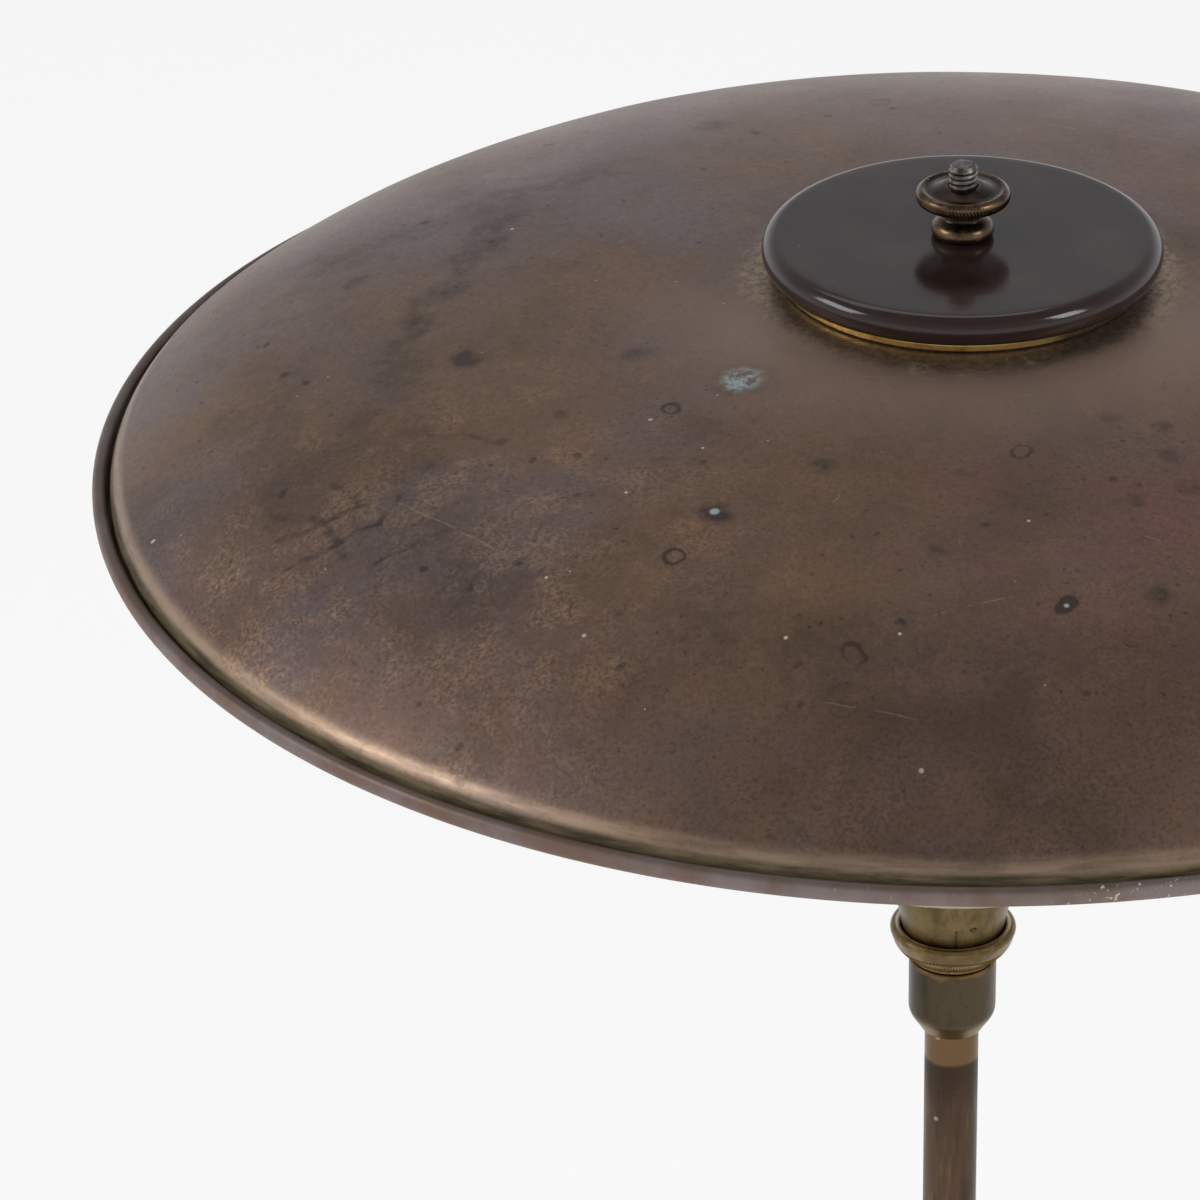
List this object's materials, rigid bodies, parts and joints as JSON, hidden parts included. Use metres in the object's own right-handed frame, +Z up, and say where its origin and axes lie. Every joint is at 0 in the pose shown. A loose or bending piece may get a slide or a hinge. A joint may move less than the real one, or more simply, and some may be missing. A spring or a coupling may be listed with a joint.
{
  "type": "table lamp",
  "caption": "Table lamp with a wide patinated brass shade, bakelite cap and turned finial, opal glass bowl, slim stem and a weighted round foot with a toggle switch.",
  "frame": {"origin": "centre of the foot, on the table", "axes": "+Z up along the stem; -Y is the front, with the cord inlet at the back on +Y"},
  "size_m": [0.4, 0.4, 0.5196],
  "materials": {
    "patinated_brass": "brown patina, satin",
    "brass": "turned, aged",
    "steel": "dulled",
    "cast_iron": "raw casting",
    "bakelite": "polished dark brown moulding",
    "ceramic": "glazed",
    "opal_glass": "opal, cream",
    "felt": "pressed felt",
    "rubber": "aged",
    "cloth_flex": "braided"
  },
  "bodies": {
    "stand": {"foot_shell": "patinated_brass", "ballast": "cast_iron", "bottom_plate": "steel", "felt_ring": "felt", "plate_screw_1": "steel", "plate_screw_2": "steel", "plate_screw_3": "steel", "inlet_bush": "bakelite", "terminal_block": "ceramic", "switch_body": "bakelite", "switch_bushing": "brass", "switch_nut": "brass", "stem_tube": "patinated_brass", "stem_lock_nut": "steel", "stem_lock_washer": "steel", "stem_foot_collar": "brass", "inner_flex": "cloth_flex", "holder_cup": "patinated_brass", "holder_nipple": "steel", "knurled_ring": "brass", "gallery_cone": "brass", "bowl_gasket": "rubber", "lower_bowl": "opal_glass", "bowl_clamp": "brass", "bowl_nut": "steel", "lampholder_shell": "bakelite", "lampholder_insulator": "ceramic", "lampholder_thread": "brass", "arm_ring": "brass", "crown_plate": "brass", "arm_1": "brass", "arm_2": "brass", "arm_3": "brass", "arm_screw_1": "steel", "arm_screw_2": "steel", "arm_screw_3": "steel", "crown_screw_1": "steel", "crown_screw_2": "steel", "crown_screw_3": "steel", "stud": "steel", "stud_nut_lower": "steel", "stud_nut_upper": "steel"},
    "switch": {"switch_lever": "brass"},
    "contact": {"contact_plunger": "brass"},
    "bulb_foot": {"bulb_tip": "steel"},
    "bulb": {"bulb_insulator": "ceramic", "bulb_cap": "brass", "bulb_glass": "opal_glass", "bulb_stem": "opal_glass"},
    "shade": {"upper_shade": "patinated_brass", "neck_ring": "brass"},
    "cap": {"cap_disc": "bakelite"},
    "washer": {"finial_washer": "brass"},
    "finial": {"finial_nut": "brass"}
  },
  "joints": [
    {"name": "switch_toggle", "type": "hinge", "parent": "stand", "child": "switch", "pos_m": [0.04015, -0.05734, 0.0215], "axis": [-0.8191, -0.5736, 0], "range_deg": [0, 24]},
    {"name": "contact_press", "type": "slide", "parent": "stand", "child": "contact", "axis": [0, 0, -1], "range_m": [0, 0.0012], "stiffness_N_per_m": 800, "springref_m": -0.001},
    {"name": "bulb_rise", "type": "slide", "parent": "stand", "child": "bulb_foot", "axis": [0, 0, 1], "range_m": [0, 0.01814]},
    {"name": "bulb_turn", "type": "hinge", "parent": "bulb_foot", "child": "bulb", "pos_m": [0, 0, 0.37], "axis": [0, 0, 1], "range_deg": [0, 1800]},
    {"name": "shade_lift", "type": "slide", "parent": "stand", "child": "shade", "axis": [0, 0, 1], "range_m": [0, 0.1]},
    {"name": "cap_lift", "type": "slide", "parent": "shade", "child": "cap", "axis": [0, 0, 1], "range_m": [0, 0.05]},
    {"name": "finial_rise", "type": "slide", "parent": "cap", "child": "washer", "axis": [0, 0, 1], "range_m": [0, 0.01651]},
    {"name": "finial_turn", "type": "hinge", "parent": "washer", "child": "finial", "pos_m": [0, 0, 0.51], "axis": [0, 0, 1], "range_deg": [0, 4680]}
  ],
  "couplings": [
    {"joint": "bulb_turn", "follows": "bulb_rise", "rad_per_m": 1731.4},
    {"joint": "finial_turn", "follows": "finial_rise", "rad_per_m": 4947.3}
  ]
}
